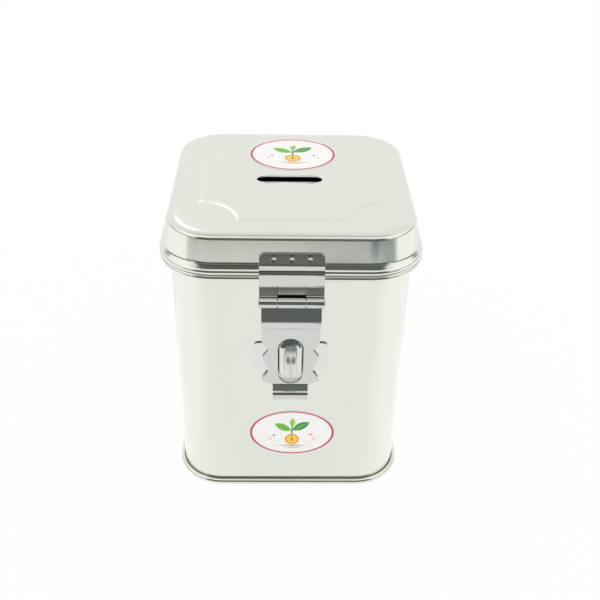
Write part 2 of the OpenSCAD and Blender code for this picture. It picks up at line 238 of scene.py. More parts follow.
# Direction of the small lamp behind the box on the left
LAMP = tuple(Vector((-0.165, 0.812, 0.56)).normalized())

# Table, in metres: half its width, where the distance past the box's foot starts, and blotches of its painted
# reflection to a metre
TABLE_HALF = 4
TABLE_START = 0.06
REFLECTED_BLOTCHES = 22
# Share of the table's shade that doesn't depend on the light on it
TABLE_GLOW = 0.94

# Camera, in millimetres for the lens and metres for its place, matched to the photograph's view of the box
CAMERA_LENS = 52.22
CAMERA_SENSOR = 36
CAMERA_NEAR = 0.01
CAMERA_PLACE = (-0.00503, -0.36129, 0.31449)
CAMERA_HEADING = -1.6095
CAMERA_DOWN = 33.6937
CAMERA_ROLL = 1.2618


def linear(hex_colour):
    """An sRGB hex colour as linear red, green, blue and alpha."""
    parts = [int(hex_colour[i:i + 2], 16) / 255 for i in (1, 3, 5)]
    return [p / 12.92 if p <= 0.04045 else ((p + 0.055) / 1.055) ** 2.4 for p in parts] + [1]


def add(tree, kind, inputs=None, **settings):
    """Adds a node; an input is given a value or is linked to another node's output."""
    node = tree.nodes.new(kind)
    for name, value in settings.items():
        setattr(node, name, value)
    for name, value in (inputs or {}).items():
        if isinstance(value, bpy.types.NodeSocket):
            tree.links.new(value, node.inputs[name])
        else:
            node.inputs[name].default_value = value
    return node


def surface(name):
    """A material with an empty node tree, its shader and its object coordinates."""
    material = bpy.data.materials.new(name)
    material.use_nodes = True
    tree = material.node_tree
    tree.nodes.clear()
    shader = add(tree, "ShaderNodeBsdfPrincipled")
    add(tree, "ShaderNodeOutputMaterial", {"Surface": shader.outputs[0]})
    return material, tree, shader, add(tree, "ShaderNodeTexCoord").outputs["Object"]


def steel(name, colour, roughness, wave_mm, wave_size_mm, grain):
    """Stainless sheet: long shallow waves from pressing, a fine grain from rolling, and handling haze.

    Rolling grain is finer than this on real sheet; it is drawn coarser so that it shows."""
    material, tree, shader, place = surface(name)
    shader.inputs["Metallic"].default_value = 1
    haze = add(tree, "ShaderNodeTexNoise",
               {"Vector": place, "Scale": 1 / (HAZE_SIZE * MM), "Detail": 4}).outputs[0]
    tone = add(tree, "ShaderNodeMix", {"Factor": haze, "A": linear(colour[0]), "B": linear(colour[1])},
               data_type="RGBA")
    tree.links.new(tone.outputs["Result"], shader.inputs["Base Color"])
    rough = add(tree, "ShaderNodeMapRange", {"Value": haze, "From Min": HAZE_SPAN[0], "From Max": HAZE_SPAN[1],
                                             "To Min": roughness[0], "To Max": roughness[1]})
    tree.links.new(rough.outputs[0], shader.inputs["Roughness"])
    wave = add(tree, "ShaderNodeTexNoise",
               {"Vector": place, "Scale": 1 / (wave_size_mm * MM), "Detail": 0})
    waved = add(tree, "ShaderNodeBump",
                {"Height": wave.outputs[0], "Distance": wave_mm * MM, "Strength": 1})
    along = add(tree, "ShaderNodeMapping", {"Vector": place, "Scale": grain})
    lines = add(tree, "ShaderNodeTexNoise", {"Vector": along.outputs[0], "Scale": 1 / MM, "Detail": 2})
    grained = add(tree, "ShaderNodeBump", {"Height": lines.outputs[0], "Distance": GRAIN_DEPTH * MM,
                                           "Strength": 1, "Normal": waved.outputs[0]})
    tree.links.new(grained.outputs[0], shader.inputs["Normal"])
    return material


# Bright rolled stainless steel, lightly polished after pressing: pale and warm, with soft-edged reflections
SATIN = steel("polished_stainless_sheet", ("#E3E6DB", "#E7E9E0"), (0.12, 0.2), 0.03, 24, (0.3, 0.3, 3))
# Hasp and hinge sheet, buffed before folding: sharper, cooler and a little darker than the box
LATCH = steel("buffed_latch_sheet", ("#CDD0CB", "#D4D6D2"), (0.06, 0.11), 0.004, 9, (2.5, 0.4, 0.4))
# Staple sheet, pickled pale after it was pressed, so its reflections are soft
STAPLE = steel("pickled_staple_sheet", ("#DDE0DC", "#E4E6E2"), (0.13, 0.19), 0.004, 9, (2.5, 0.4, 0.4))
# The staple's loop, scuffed by padlocks: much duller
SCUFFED = steel("scuffed_loop_sheet", ("#DDDFDA", "#E8E9E5"), (0.34, 0.42), 0.004, 9, (0.4, 0.4, 2.5))
# Drawn steel wire, left as drawn: greyer, with faint lines along it
WIRE = steel("drawn_steel_wire", ("#C4C6C2", "#D0D1CD"), (0.2, 0.3), 0.002, 6, (0.3, 3, 3))


def leaf_mask(tree, place, centre, length, width, turn):
    """Mask of a shape where two arcs meet in points; one as wide as it is long is a disc."""
    bow = (length ** 2 + width ** 2) / (4 * width)
    own = add(tree, "ShaderNodeMapping", {"Vector": place, "Location": (*centre, 0),
                                          "Rotation": (0, 0, math.radians(turn))}, vector_type="TEXTURE")
    part = add(tree, "ShaderNodeSeparateXYZ", {0: own.outputs[0]})
    side = add(tree, "ShaderNodeMath", {0: part.outputs["Y"]}, operation="ABSOLUTE")
    off = add(tree, "ShaderNodeMath", {0: side.outputs[0], 1: bow - width / 2}, operation="ADD")
    point = add(tree, "ShaderNodeCombineXYZ", {0: part.outputs["X"], 1: off.outputs[0]})
    out = add(tree, "ShaderNodeVectorMath", {0: point.outputs[0]}, operation="LENGTH")
    return add(tree, "ShaderNodeMapRange", {"Value": out.outputs["Value"], "From Min": bow + PRINT_SOFT,
                                            "From Max": bow - PRINT_SOFT}).outputs[0]


# A sprout that grows from a coin. Each shape has its centre from the label's middle, its length, width
# and turn in degrees, and its colour
PRINT_SOFT = 0.12
GROUND = [((0, -8.1), 15, 0.5, 0, "#8C8272"), ((0.6, -9.3), 8, 0.45, 0, "#A59B8B")]
COIN = [((0, -4.1), 6.6, 6.6, 0, "#E98F2E"), ((0, -4.1), 5.3, 5.3, 0, "#FFD452"),
        ((0, -4.1), 3.4, 1.5, 90, "#E98F2E")]
STALK = [((0, 1.6), 8.4, 0.8, 88, "#4E8F2F"), ((0.2, 6.3), 5.2, 2.5, 84, "#8ED04A")]
LEFT_LEAF = [((-4.3, 3.5), 8.8, 3.9, 150, "#73C33C"), ((-4.1, 3.4), 6.6, 0.4, 150, "#4E9A33")]
RIGHT_LEAF = [((4.2, 4.1), 9.2, 4.1, 32, "#2F9A45"), ((4.0, 4.0), 7, 0.4, 32, "#9BD65A")]
DOTS = [((-8.6, -1.6), 1.1, 1.1, 0, "#C9564A"), ((8.8, -1.2), 1.1, 1.1, 0, "#C9564A"),
        ((-10.4, -3.9), 0.9, 0.9, 0, "#E98F2E"), ((10.4, -3.7), 0.9, 0.9, 0, "#E98F2E")]
SPROUT = GROUND + COIN + STALK + LEFT_LEAF + RIGHT_LEAF + DOTS
# Inner and outer edge of the red ring, as shares of the label's own half width
RING = (0.93, 0.985)
RING_SOFT = 0.006


def printed_film(name, centre, size, up_axis, scale):
    """Printed self-adhesive film, gloss laminated: bright white, a thin red ring and a flat-ink sprout."""
    material, tree, shader, place = surface(name)
    part = add(tree, "ShaderNodeSeparateXYZ", {0: place})
    flat = add(tree, "ShaderNodeCombineXYZ", {0: part.outputs["X"], 1: part.outputs[up_axis]})
    own = add(tree, "ShaderNodeMapping",
              {"Vector": flat.outputs[0], "Location": (centre[0] * MM, centre[1] * MM, 0),
               "Scale": (scale * MM, scale * MM, 1)}, vector_type="TEXTURE")
    to_edge = (2 * scale / size[0], 2 * scale / size[1], 0)
    oval = add(tree, "ShaderNodeVectorMath", {0: own.outputs[0], 1: to_edge}, operation="MULTIPLY")
    reach = add(tree, "ShaderNodeVectorMath", {0: oval.outputs[0]}, operation="LENGTH")
    edges = [add(tree, "ShaderNodeMapRange", {"Value": reach.outputs["Value"], "From Min": at - RING_SOFT,
                                              "From Max": at + RING_SOFT}).outputs[0] for at in RING]
    ring = add(tree, "ShaderNodeMath", {0: edges[0], 1: edges[1]}, operation="SUBTRACT")
    fibre = add(tree, "ShaderNodeTexNoise",
                {"Vector": place, "Scale": 1 / (FIBRE_SIZE * MM), "Detail": 3}).outputs[0]
    ink = add(tree, "ShaderNodeMix", {"Factor": fibre, "A": linear("#FDFCFA"), "B": linear("#F8F6F3")},
              data_type="RGBA").outputs["Result"]
    masks = [(ring.outputs[0], "#C8455C")]
    masks += [(leaf_mask(tree, own.outputs[0], *shape), colour) for *shape, colour in SPROUT]
    for mask, colour in masks:
        ink = add(tree, "ShaderNodeMix", {"Factor": mask, "A": ink, "B": linear(colour)},
                  data_type="RGBA").outputs["Result"]
    tree.links.new(ink, shader.inputs["Base Color"])
    shader.inputs["Roughness"].default_value = FILM_ROUGHNESS
    ripple = add(tree, "ShaderNodeTexNoise",
                 {"Vector": place, "Scale": 1 / (RIPPLE_SIZE * MM), "Detail": 1})
    bump = add(tree, "ShaderNodeBump",
               {"Height": ripple.outputs[0], "Distance": RIPPLE_DEPTH * MM, "Strength": 1})
    tree.links.new(bump.outputs[0], shader.inputs["Normal"])
    return material


def finish_piece(name, bm, body, nodes, material, modifiers=()):
    """Scales a mesh to metres, makes it a piece that rides on its body and stands for its nodes."""
    bmesh.ops.scale(bm, vec=(MM, MM, MM), verts=bm.verts)
    mesh = bpy.data.meshes.new(name)
    for face in bm.faces:
        face.smooth = True
    bm.to_mesh(mesh)
    bm.free()
    mesh.materials.append(material)
    piece = bpy.data.objects.new(name, mesh)
    bpy.context.scene.collection.objects.link(piece)
    for kind, settings in modifiers:
        modifier = piece.modifiers.new(kind.lower(), kind)
        for key, value in settings.items():
            setattr(modifier, key, value)
    even = piece.modifiers.new("even", "WEIGHTED_NORMAL")
    even.weight = NORMAL_WEIGHT
    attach(piece, body)
    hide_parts(*nodes)
    return piece


def thick(t):
    """A wall of thickness t, half of it on each side of the modelled surface."""
    return "SOLIDIFY", {"thickness": t * MM, "offset": 0, "use_even_offset": True}


def eased(width, segments=2, limit=40):
    """Edges eased over a small width, with flat faces kept flat."""
    return "BEVEL", {"width": width * MM, "segments": segments, "limit_method": "ANGLE",
                     "angle_limit": math.radians(limit)}


def rounded(points, lengths):
    """A path of straight lines with each corner rounded over its length, or over a length on each side."""
    path = [Vector(points[0])]
    for i in range(1, len(points) - 1):
        if lengths[i] == 0:
            path.append(Vector(points[i]))
            continue
        before, corner, after = (Vector(p) for p in points[i - 1:i + 2])
        reach = lengths[i] if isinstance(lengths[i], tuple) else (lengths[i], lengths[i])
        a = corner + (before - corner).normalized() * reach[0]
        b = corner + (after - corner).normalized() * reach[1]
        for step in range(BEND_STEPS + 1):
            s = step / BEND_STEPS
            path.append((1 - s) ** 2 * a + 2 * s * (1 - s) * corner + s ** 2 * b)
    path.append(Vector(points[-1]))
    return path


def folded(points):
    """A path with every corner bent as the latch sheet is."""
    return rounded(points, [FOLD_ROUND] * len(points))


def beside(path, distance):
    """The path moved to its left by a distance, with mitred corners."""
    heads = [(b - a).normalized() for a, b in zip(path, path[1:])]
    sides = [Vector((-h.y, h.x)) for h in heads]
    moved = []
    for i, point in enumerate(path):
        mitre = sides[max(i - 1, 0)] + sides[min(i, len(sides) - 1)]
        moved.append(point + mitre * (2 * distance / mitre.length_squared))
    return moved


def arc(centre, radius, start, end, steps):
    """Points on an arc, with its angles in degrees."""
    angles = [math.radians(start + (end - start) * i / steps) for i in range(steps + 1)]
    return [Vector((centre[0] + radius * math.cos(a), centre[1] + radius * math.sin(a))) for a in angles]


def outline(bm, points):
    """New vertices at (x, y, z) points and the edges that join them in a row."""
    verts = [bm.verts.new(p) for p in points]
    return verts, [bm.edges.new(pair) for pair in zip(verts, verts[1:])]


def sweep_square(bm, path, corner_steps, side_steps):
    """Sweeps a path of (outward from the corner centre, height) round the box's plan."""
    verts, edges = outline(bm, [(CORE + p[0], CORE, p[1]) for p in path])
    turned = bmesh.ops.spin(bm, geom=verts + edges, cent=(CORE, CORE, 0), axis=(0, 0, 1),
                            angle=math.pi / 2, steps=corner_steps, use_duplicate=False)
    bmesh.ops.spin(bm, geom=turned["geom_last"], cent=(0, 0, 0), axis=(0, 0, 1), angle=0,
                   dvec=(-2 * CORE / side_steps, 0, 0), steps=side_steps, use_duplicate=False)
    bmesh.ops.spin(bm, geom=bm.verts[:] + bm.edges[:] + bm.faces[:], cent=(0, 0, 0), axis=(0, 0, 1),
                   angle=1.5 * math.pi, steps=3, use_duplicate=True)
    bmesh.ops.remove_doubles(bm, verts=bm.verts, dist=MERGE)
    bmesh.ops.recalc_face_normals(bm, faces=bm.faces)


def smooth_step(t):
    """Rises smoothly from 0 to 1 as t does, and stays there beyond."""
    t = min(max(t, 0), 1)
    return t * t * (3 - 2 * t)


def press_height(x, y):
    """How far the lid's raised panel stands up at a place: straight sides and four hollow corners."""
    to_side, to_back = PANEL_HALF - abs(x), PANEL_HALF - abs(y)
    to_corner = math.hypot(to_side, to_back) - PANEL_SCOOP
    return PANEL_H * smooth_step(min(to_side, to_back, to_corner) / PANEL_SLOPE)


def body_shell():
    bm = bmesh.new()
    wall = CORNER - SHEET / 2
    curl_r = BEAD_R - SHEET / 2
    web_z = BODY_BEAD_Z + curl_r
    path = rounded([(wall, WALL_FOOT_Z), (wall, web_z), (BEAD_X, web_z)], [0, WEB_BEND, 0])
    path[-1:] = arc((BEAD_X, BODY_BEAD_Z), curl_r, 90, BODY_CURL_END, CURL_STEPS)
    sweep_square(bm, path, WALL_CORNER_STEPS, WALL_SIDE_STEPS)
    finish_piece("body", bm, "box", ["body_shell"], SATIN, [thick(SHEET)])


def base_pan():
    bm = bmesh.new()
    seam_r = SEAM_H / 2
    middle = (CORNER + SEAM_OUT - seam_r, seam_r)
    path = rounded([(0, BASE_RISE + SHEET / 2), (CORNER - 2 * SHEET, BASE_RISE + SHEET / 2),
                    (CORNER - 2 * SHEET, SHEET / 2), (middle[0], SHEET / 2)], [0, PAN_BEND, PAN_BEND, 0])
    path[-1:] = arc(middle, seam_r - SHEET / 2, -90, 90, SEAM_STEPS)
    path.append(Vector((CORNER + SHEET / 2, SEAM_H - SHEET / 2)))
    sweep_square(bm, path, WALL_CORNER_STEPS, WALL_SIDE_STEPS)
    fill_centre(bm, WALL_SIDE_STEPS, BASE_RISE + SHEET / 2)
    finish_piece("base", bm, "box", ["base_pan"], SATIN, [thick(SHEET)])


def fill_centre(bm, cells, z):
    """The flat middle between the four swept corners."""
    bmesh.ops.create_grid(bm, x_segments=cells, y_segments=cells, size=CORE,
                          matrix=Matrix.Translation((0, 0, z)))
    bmesh.ops.remove_doubles(bm, verts=bm.verts, dist=MERGE)
    bmesh.ops.recalc_face_normals(bm, faces=bm.faces)


def cut_coin_slot(bm, cell, z):
    """Opens a patch of the grid round the slot and bridges it to the slot's edge."""
    reach_x, reach_y = SLOT_L / 2 + SLOT_CELLS * cell, SLOT_W / 2 + SLOT_CELLS * cell
    patch = [f for f in bm.faces
             if abs(f.calc_center_median().x - SLOT_X) < reach_x
             and abs(f.calc_center_median().y - SLOT_Y) < reach_y
             and f.calc_center_median().z > z - 1]
    bmesh.ops.delete(bm, geom=patch, context="FACES")
    rim = [e for e in bm.edges if e.is_boundary and abs(e.verts[0].co.x - SLOT_X) < reach_x + cell
           and abs(e.verts[0].co.y - SLOT_Y) < reach_y + cell]
    end_x, end_r = (SLOT_L - SLOT_W) / 2, SLOT_W / 2
    edge = arc((SLOT_X + end_x, SLOT_Y), end_r, -90, 90, ARC_STEPS)
    edge += arc((SLOT_X - end_x, SLOT_Y), end_r, 90, 270, ARC_STEPS)
    verts, edges = outline(bm, [(p.x, p.y, z) for p in edge])
    edges.append(bm.edges.new((verts[-1], verts[0])))
    bmesh.ops.bridge_loops(bm, edges=rim + edges)


def lid_shell():
    bm = bmesh.new()
    wall_top = FLARE_FOOT[0] - (LID_TOP - FLARE_FOOT[1]) * math.tan(LID_DRAFT)
    flat_end = wall_top - EDGE_ROUND[0]
    cell = 2 * CORE / LID_CELLS
    flat_steps = round(flat_end / cell)
    flat = [(flat_end * i / flat_steps, LID_TOP) for i in range(flat_steps)]
    bead = arc((BEAD_X, LID_BEAD_Z), BEAD_R, FLARE_END, LID_CURL_END, CURL_STEPS)
    flare_end = bead[0].lerp(Vector(FLARE_FOOT), FLARE_EDGE)
    outer = flat + rounded([(0, LID_TOP), (wall_top, LID_TOP), FLARE_FOOT, flare_end],
                           [0, EDGE_ROUND, FLARE_ROUND, 0])[1:] + bead
    path = beside([Vector(p) for p in outer], -SHEET / 2)
    path[0].x = 0
    sweep_square(bm, path, LID_CORNER_STEPS, LID_CELLS)
    fill_centre(bm, LID_CELLS, path[0].y)
    for v in bm.verts:
        if v.co.z > path[0].y - MERGE:
            v.co.z += press_height(v.co.x, v.co.y)
    cut_coin_slot(bm, cell, path[0].y + PANEL_H)
    bmesh.ops.recalc_face_normals(bm, faces=bm.faces)
    finish_piece("lid", bm, "lid", ["lid_shell"], SATIN, [thick(SHEET)])


def labels():
    bm = bmesh.new()
    bmesh.ops.create_circle(bm, cap_ends=True, radius=0.5, segments=OVAL_STEPS)
    bmesh.ops.scale(bm, vec=(FRONT_LABEL[0], FRONT_LABEL[1], 1), verts=bm.verts)
    grown = bmesh.ops.extrude_face_region(bm, geom=bm.faces[:])["geom"]
    front = [g for g in grown if isinstance(g, bmesh.types.BMVert)]
    bmesh.ops.translate(bm, vec=(0, 0, LABEL_T), verts=front)
    on_wall = Matrix.Translation((FRONT_LABEL_AT[0], -HALF, FRONT_LABEL_AT[1]))
    bmesh.ops.transform(bm, matrix=on_wall @ Matrix.Rotation(math.pi / 2, 4, "X"), verts=bm.verts)
    bmesh.ops.recalc_face_normals(bm, faces=bm.faces)
    finish_piece("front_sticker", bm, "box", ["front_label"],
                 printed_film("printed_film_on_box", FRONT_LABEL_AT, FRONT_LABEL, "Z", 1),
                 [eased(LABEL_EASE)])

    bm = bmesh.new()
    verts, edges = outline(bm, [(0.5 * i / LABEL_RINGS, 0, 0) for i in range(LABEL_RINGS + 1)])
    bmesh.ops.spin(bm, geom=verts + edges, cent=(0, 0, 0), axis=(0, 0, 1), angle=2 * math.pi,
                   steps=OVAL_STEPS, use_merge=True, use_duplicate=False)
    bmesh.ops.remove_doubles(bm, verts=bm.verts, dist=FINE_MERGE)
    bmesh.ops.scale(bm, vec=(TOP_LABEL[0], TOP_LABEL[1], 1), verts=bm.verts)
    bmesh.ops.translate(bm, vec=(*TOP_LABEL_AT, 0), verts=bm.verts)
    for v in bm.verts:
        v.co.z = LID_TOP + press_height(v.co.x, v.co.y) + LABEL_T / 2
    bmesh.ops.recalc_face_normals(bm, faces=bm.faces)
    finish_piece("top_sticker", bm, "lid", ["top_label"],
                 printed_film("printed_film_on_lid", TOP_LABEL_AT, TOP_LABEL, "Y", 1.15),
                 [thick(LABEL_T), eased(LABEL_EASE)])


def sheet_face(bm, half_outline, rounding=None):
    """A flat face in the X-Z plane from the outline of its right half, mirrored to the left.

    rounding gives a radius for the outline's points by their place in the list."""
    verts = [bm.verts.new((x, 0, z)) for x, z in half_outline]
    bm.faces.new(verts)
    for place, radius in (rounding or {}).items():
        bmesh.ops.bevel(bm, geom=[verts[place]], affect="VERTICES", offset=radius,
                        segments=SHEET_CORNER_STEPS, profile=0.5, material=-1)
    bmesh.ops.mirror(bm, geom=bm.verts[:] + bm.edges[:] + bm.faces[:], axis="X", merge_dist=MERGE)


def bend_to(bm, path):
    """Cuts a flat upright sheet across at each height of a path of (depth, height) and moves it there."""
    path = sorted(path, key=lambda p: p[1])
    heights = [p[1] for p in path]
    for z in heights[1:-1]:
        bmesh.ops.bisect_plane(bm, geom=bm.verts[:] + bm.edges[:] + bm.faces[:], dist=FINE_MERGE,
                               plane_co=(0, 0, z), plane_no=(0, 0, 1))
    for v in bm.verts:
        i = min(max(bisect_left(heights, v.co.z), 1), len(path) - 1)
        low, high = path[i - 1], path[i]
        part = (v.co.z - low[1]) / (high[1] - low[1])
        v.co.y = low[0] + (high[0] - low[0]) * part


def roll_knuckle(bm, z, middle, turn):
    """Rolls the sheet's free edge at a height round the pin, and leaves it a little short of closing."""
    edge = [e for e in bm.edges if e.is_boundary and all(abs(v.co.z - z) < NEAR for v in e.verts)]
    corners = list({v for e in edge for v in e.verts})
    bmesh.ops.spin(bm, geom=corners + edge, cent=middle, axis=(1, 0, 0), angle=math.radians(turn),
                   steps=ROLL_STEPS, use_duplicate=False)
    bmesh.ops.recalc_face_normals(bm, faces=bm.faces)


def lid_wall_y(z):
    """How far the lid's outer wall stands from the middle at a height."""
    return CORE + FLARE_FOOT[0] - (z - FLARE_FOOT[1]) * math.tan(LID_DRAFT)


def knuckled(width, mid, end_z, shoulder_z, slit_z=None):
    """Lower half outline of a sheet whose two side fingers are rolled on from it.

    slit_z is the height of the slits beside the tab that is left between the fingers."""
    slot = mid / 2 + KNUCKLE_GAP
    slit = [(slot, slit_z), (mid / 2, slit_z), (mid / 2, shoulder_z)] if slit_z else [(slot, shoulder_z)]
    return [(width / 2, end_z), (slot, end_z)] + slit + [(0, shoulder_z)]


def lid_leaf_path(foot, lift=0):
    """Middle of the sheet of a leaf that passes the beads and lies on the lid's wall, its foot lifted."""
    inner = rounded(foot + [(foot[-1][0], LEAF_STEP_Z), (-lid_wall_y(LEAF_FOOT_Z) - lift, LEAF_FOOT_Z),
                            (-lid_wall_y(LEAF_TOP), LEAF_TOP)],
                    [FOLD_ROUND] * len(foot) + [LEAF_ROUND, FOLD_ROUND, 0])
    return beside(inner, LATCH_T / 2)


def weld_dimples(bm, middles):
    """Presses a round hollow into the sheet at each (x, z), after cutting a fine grid there."""
    for axis, places in enumerate(({x for x, _ in middles}, {z for _, z in middles})):
        for middle in places:
            for step in range(-DIMPLE_CUTS, DIMPLE_CUTS + 1):
                at, across = [0, 0, 0], [0, 0, 0]
                at[2 * axis] = middle + step * DIMPLE_R / DIMPLE_CUTS
                across[2 * axis] = 1
                bmesh.ops.bisect_plane(bm, geom=bm.verts[:] + bm.edges[:] + bm.faces[:], dist=FINE_MERGE,
                                       plane_co=at, plane_no=across)
    for v in bm.verts:
        away = min(math.hypot(v.co.x - x, v.co.z - z) for x, z in middles)
        v.co.y += DIMPLE_DEPTH * smooth_step(1 - away / DIMPLE_R)


def latch_leaf():
    path = lid_leaf_path([(-TOUCH_X, TOUCH_Z), (-LEAF_X, KICK_Z)], LEAF_LIFT)
    low, top = path[0].y, path[-1].y
    bm = bmesh.new()
    sheet_face(bm, [(0, top), (LEAF_W / 2, top)]
               + knuckled(LEAF_W, MID_KNUCKLE, low, LATCH_Z + KNUCKLE_CLEAR, KICK_Z), {1: LEAF_CORNER})
    bend_to(bm, path)
    weld_dimples(bm, [(side * DIMPLE_PITCH, top - DIMPLE_DROP) for side in (-1, 0, 1)])
    roll_knuckle(bm, low, (0, LATCH_Y, LATCH_Z), -ROLL_TURN)
    finish_piece("hasp_leaf", bm, "lid", ["latch_leaf"], LATCH,
                 [thick(LATCH_T), eased(LATCH_EASE)])


def latch_strap():
    inner_start = (LATCH_Y + ROLL_OUT * math.cos(STRAP_TILT), LATCH_Z - ROLL_OUT * math.sin(STRAP_TILT))
    fold_z = LATCH_Z - FOLD_DROP
    fold_y = inner_start[0] - (inner_start[1] - fold_z) * math.tan(STRAP_TILT)
    inner = rounded([inner_start, (fold_y, fold_z), (fold_y, fold_z - FOLD_BAND),
                     (STRAP_IN, fold_z - FOLD_BAND - LEDGE_DROP), (STRAP_IN, STRAP_FOOT)]
                    + [(STRAP_IN + y, STRAP_FOOT + z) for y, z in LIP_BENDS], [FOLD_ROUND] * 5 + LIP_ROUNDS)
    path = beside(inner, -LATCH_T / 2)
    past = math.sqrt(KNUCKLE_CLEAR ** 2 - (ROLL_OUT - LATCH_T) ** 2)
    shoulder_z = path[0].y - past * math.cos(STRAP_TILT)
    bottom = path[-1].y
    half = [(0, path[0].y), (MID_KNUCKLE / 2, path[0].y), (MID_KNUCKLE / 2, shoulder_z),
            (STRAP_W / 2, shoulder_z)]
    half += [(STRAP_W / 2 + out, z) for out, z in reversed(NOTCHES)]
    half += [(LIP_W / 2, STRAP_FOOT - LIP_ROUNDS[0]), (LIP_W / 2, bottom), (0, bottom)]
    half += [(p.x, p.y) for p in reversed(half_stadium(WINDOW_W, *WINDOW_Z))]
    bm = bmesh.new()
    sheet_face(bm, half)
    bend_to(bm, path)
    roll_knuckle(bm, path[0].y, (0, LATCH_Y, LATCH_Z), ROLL_TURN)
    finish_piece("hasp_strap", bm, "hasp", ["latch_strap"], LATCH,
                 [thick(LATCH_T), eased(LATCH_EASE)])


def rear_hinges():
    lean_z = BODY_BEAD_Z - BEAD_R - LEAF_DROP
    on_body = beside(folded([(-HINGE_IN, PARTING), (-HINGE_IN, lean_z), (-HALF, lean_z - LEAF_LEAN),
                             (-HALF, lean_z - LEAF_LEAN - HINGE_LEAF_H)]), -LATCH_T / 2)
    on_lid = lid_leaf_path([(-HINGE_IN, PARTING)])
    low, top = on_body[-1].y, on_lid[-1].y
    below = [(0, low), (HINGE_W / 2, low)] + knuckled(HINGE_W, HINGE_MID, PARTING, PARTING - KNUCKLE_CLEAR)
    above = [(0, top), (HINGE_W / 2, top), (HINGE_W / 2, PARTING + KNUCKLE_CLEAR),
             (HINGE_MID / 2, PARTING + KNUCKLE_CLEAR), (HINGE_MID / 2, PARTING), (0, PARTING)]
    for side, x in (("left", -HINGE_X), ("right", HINGE_X)):
        behind = Matrix.Translation((x, 0, 0)) @ Matrix.Rotation(math.pi, 4, "Z")
        for half, path, corner, turn, carrier in ((below, on_body, HINGE_CORNER, ROLL_TURN, "body"),
                                                  (above, on_lid, LEAF_CORNER, -ROLL_TURN, "lid")):
            bm = bmesh.new()
            sheet_face(bm, half, {1: corner})
            bend_to(bm, path)
            roll_knuckle(bm, PARTING, (0, -HINGE_Y, PARTING), turn)
            bmesh.ops.transform(bm, matrix=behind, verts=bm.verts)
            finish_piece(f"{side}_hinge_leaf_on_{carrier}", bm, "lid" if carrier == "lid" else "box",
                         [f"{side}_hinge_{carrier}_leaf"], LATCH,
                         [thick(LATCH_T), eased(LATCH_EASE)])
        hinge_pin(f"{side}_hinge_rod", "box", f"{side}_hinge_pin", HINGE_W, (x, HINGE_Y, PARTING))


def hinge_pin(name, body, node, width, middle):
    """Wire pin with ends domed by the hammer."""
    bm = bmesh.new()
    half_length = width / 2 + PIN_END
    end = arc((half_length - PIN_END, 0), PIN_END, 0, PIN_DOME, DOME_STEPS)
    right = [(0, 0, half_length)] + [(PIN_R - PIN_END + p.y, 0, p.x) for p in end]
    left = [(r, 0, -z) for r, _, z in reversed(right)]
    verts, edges = outline(bm, right + left)
    bmesh.ops.spin(bm, geom=verts + edges, cent=(0, 0, 0), axis=(0, 0, 1), angle=2 * math.pi,
                   steps=PIN_STEPS, use_merge=True, use_duplicate=False)
    bmesh.ops.remove_doubles(bm, verts=bm.verts, dist=FINE_MERGE)
    across = Matrix.Translation(middle) @ Matrix.Rotation(math.pi / 2, 4, "Y")
    bmesh.ops.transform(bm, matrix=across, verts=bm.verts)
    bmesh.ops.recalc_face_normals(bm, faces=bm.faces)
    finish_piece(name, bm, body, [node], WIRE)


def half_stadium(width, low, high):
    """Right half of an upright stadium, from its top down to its bottom."""
    r = width / 2
    return arc((0, high - r), r, 90, 0, ARC_STEPS) + arc((0, low + r), r, 0, -90, ARC_STEPS)


def staple_plate():
    bm = bmesh.new()
    reach = BOSS_W + 2 * BOSS_RIM
    rim = half_stadium(reach, BOSS_Z[0] - BOSS_RIM, BOSS_Z[1] + BOSS_RIM)
    half_way = len(rim) // 2
    ear_top, ear_low = EAR_Z + EAR_H / 2, EAR_Z - EAR_H / 2
    side = STAPLE_W / 2
    corners = [(reach / 2, ear_top), (side, ear_top), (side, ear_low), (reach / 2, ear_low)]
    outer = [tuple(p) for p in rim[:half_way] if p.y > ear_top] + rounded(
        corners, [0, EAR_ROUND, EAR_ROUND, 0]) + [tuple(p) for p in rim[half_way:] if p.y < ear_low]
    foot = half_stadium(BOSS_W, *BOSS_Z)
    sheet_face(bm, [tuple(p) for p in outer] + [tuple(p) for p in reversed(foot)])
    ring = [e for e in bm.edges if e.is_boundary and boss_distance(e.verts[0].co) < BOSS_W / 2 + NEAR
            and boss_distance(e.verts[1].co) < BOSS_W / 2 + NEAR]
    crown = bmesh.ops.edgeloop_fill(bm, edges=ring)["faces"]
    for _ in range(BOSS_RINGS):
        bmesh.ops.inset_region(bm, faces=crown, thickness=BOSS_INSET, use_even_offset=True)
    bmesh.ops.bisect_plane(bm, geom=bm.verts[:] + bm.edges[:] + bm.faces[:], dist=FINE_MERGE,
                           plane_co=(0, 0, BOSS_Z[1] - BOSS_HEAD), plane_no=(0, 0, 1))
    for v in bm.verts:
        up = (BOSS_W / 2 - boss_distance(v.co)) / BOSS_SIDE
        head = (BOSS_Z[1] - v.co.z) / BOSS_HEAD
        v.co.y = PLATE_Y + STAPLE_T / 2 - BOSS_H * min(smooth_step(up), min(max(head, 0), 1))
    bmesh.ops.recalc_face_normals(bm, faces=bm.faces)
    finish_piece("staple_back_plate", bm, "box", ["staple_plate"], STAPLE,
                 [thick(STAPLE_T), eased(STAPLE_EASE, 3)])


def boss_distance(place):
    """Distance from the boss's upright middle line."""
    r = BOSS_W / 2
    beyond = max(place.z - (BOSS_Z[1] - r), BOSS_Z[0] + r - place.z, 0)
    return math.hypot(place.x, beyond)


